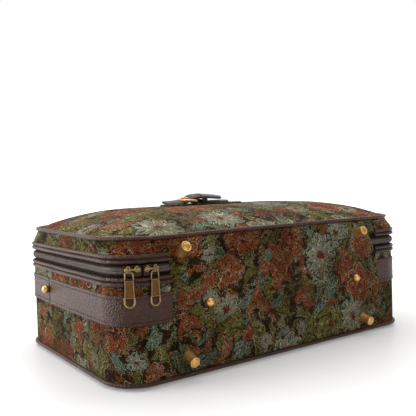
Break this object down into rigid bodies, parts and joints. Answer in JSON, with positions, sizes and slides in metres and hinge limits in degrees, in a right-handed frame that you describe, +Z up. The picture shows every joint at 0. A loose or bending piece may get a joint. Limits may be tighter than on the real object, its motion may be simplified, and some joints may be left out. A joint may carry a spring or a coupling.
{
  "type": "suitcase",
  "caption": "Soft-sided suitcase of floral tapestry cloth with leather trim, domed zipped lid, barrel feet, carry handle and a buckled strap.",
  "frame": {"origin": "centre of the case's footprint on the floor, lying on its back", "axes": "+X along the length, +Y from the footed base towards the carry handle, +Z up through the lid"},
  "size_m": [0.5274, 0.3492, 0.2173],
  "materials": {
    "tapestry": "matte woven floral tapestry",
    "board": "stiff board inside the cloth",
    "lining": "plain woven lining",
    "leather": "dark brown grained leather",
    "zip": "woven tape with a nylon coil",
    "bright_brass": "polished brass",
    "old_brass": "antique brass"
  },
  "bodies": {
    "body": {"back_panel": "tapestry", "back_board": "board", "body_gusset": "tapestry", "body_frame": "board", "body_lining": "lining", "back_piping": "leather", "lower_binding": "leather", "zip_lower": "zip", "band_left": "leather", "band_right": "leather", "band_handle": "leather", "base_panel_body": "tapestry", "feet_lower": "bright_brass", "studs_base": "bright_brass", "studs_side": "bright_brass", "handle_plates": "bright_brass"},
    "lid": {"lid_panel": "tapestry", "lid_gusset": "tapestry", "lid_frame": "board", "lid_lining": "lining", "front_piping": "leather", "upper_binding": "leather", "zip_upper": "zip", "base_panel_lid": "tapestry", "feet_upper": "bright_brass", "buckle_patch": "leather", "buckle_chape": "leather", "buckle_strap": "leather", "buckle_frame": "bright_brass", "buckle_prong": "bright_brass", "buckle_keeper": "leather"},
    "left_slider": {"slider_left": "old_brass"},
    "right_slider": {"slider_right": "old_brass"},
    "left_pull": {"pull_left": "old_brass"},
    "right_pull": {"pull_right": "old_brass"},
    "handle": {"handle_grip": "leather", "handle_ends": "bright_brass"}
  },
  "joints": [
    {"name": "lid_hinge", "type": "hinge", "parent": "body", "child": "lid", "pos_m": [0, -0.163, 0.137], "axis": [1, 0, 0], "range_deg": [0, 100], "deforming": ["zip_upper"]},
    {"name": "left_slider_run", "type": "hinge", "parent": "body", "child": "left_slider", "pos_m": [-0.209, -0.113, 0.137], "axis": [0, 0, -1], "range_deg": [0, 47]},
    {"name": "right_slider_run", "type": "slide", "parent": "body", "child": "right_slider", "axis": [1, 0, 0], "range_m": [0, 0.009]},
    {"name": "left_pull_swing", "type": "hinge", "parent": "left_slider", "child": "left_pull", "pos_m": [-0.23744, -0.15385, 0.139], "axis": [-0.866, 0.5, 0], "range_deg": [0, 60]},
    {"name": "right_pull_swing", "type": "hinge", "parent": "right_slider", "child": "right_pull", "pos_m": [-0.2083, -0.1626, 0.139], "axis": [-1, 0, 0], "range_deg": [0, 60]},
    {"name": "handle_swing", "type": "hinge", "parent": "body", "child": "handle", "pos_m": [0, 0.1663, 0.096], "axis": [1, 0, 0], "range_deg": [0, 150]}
  ]
}
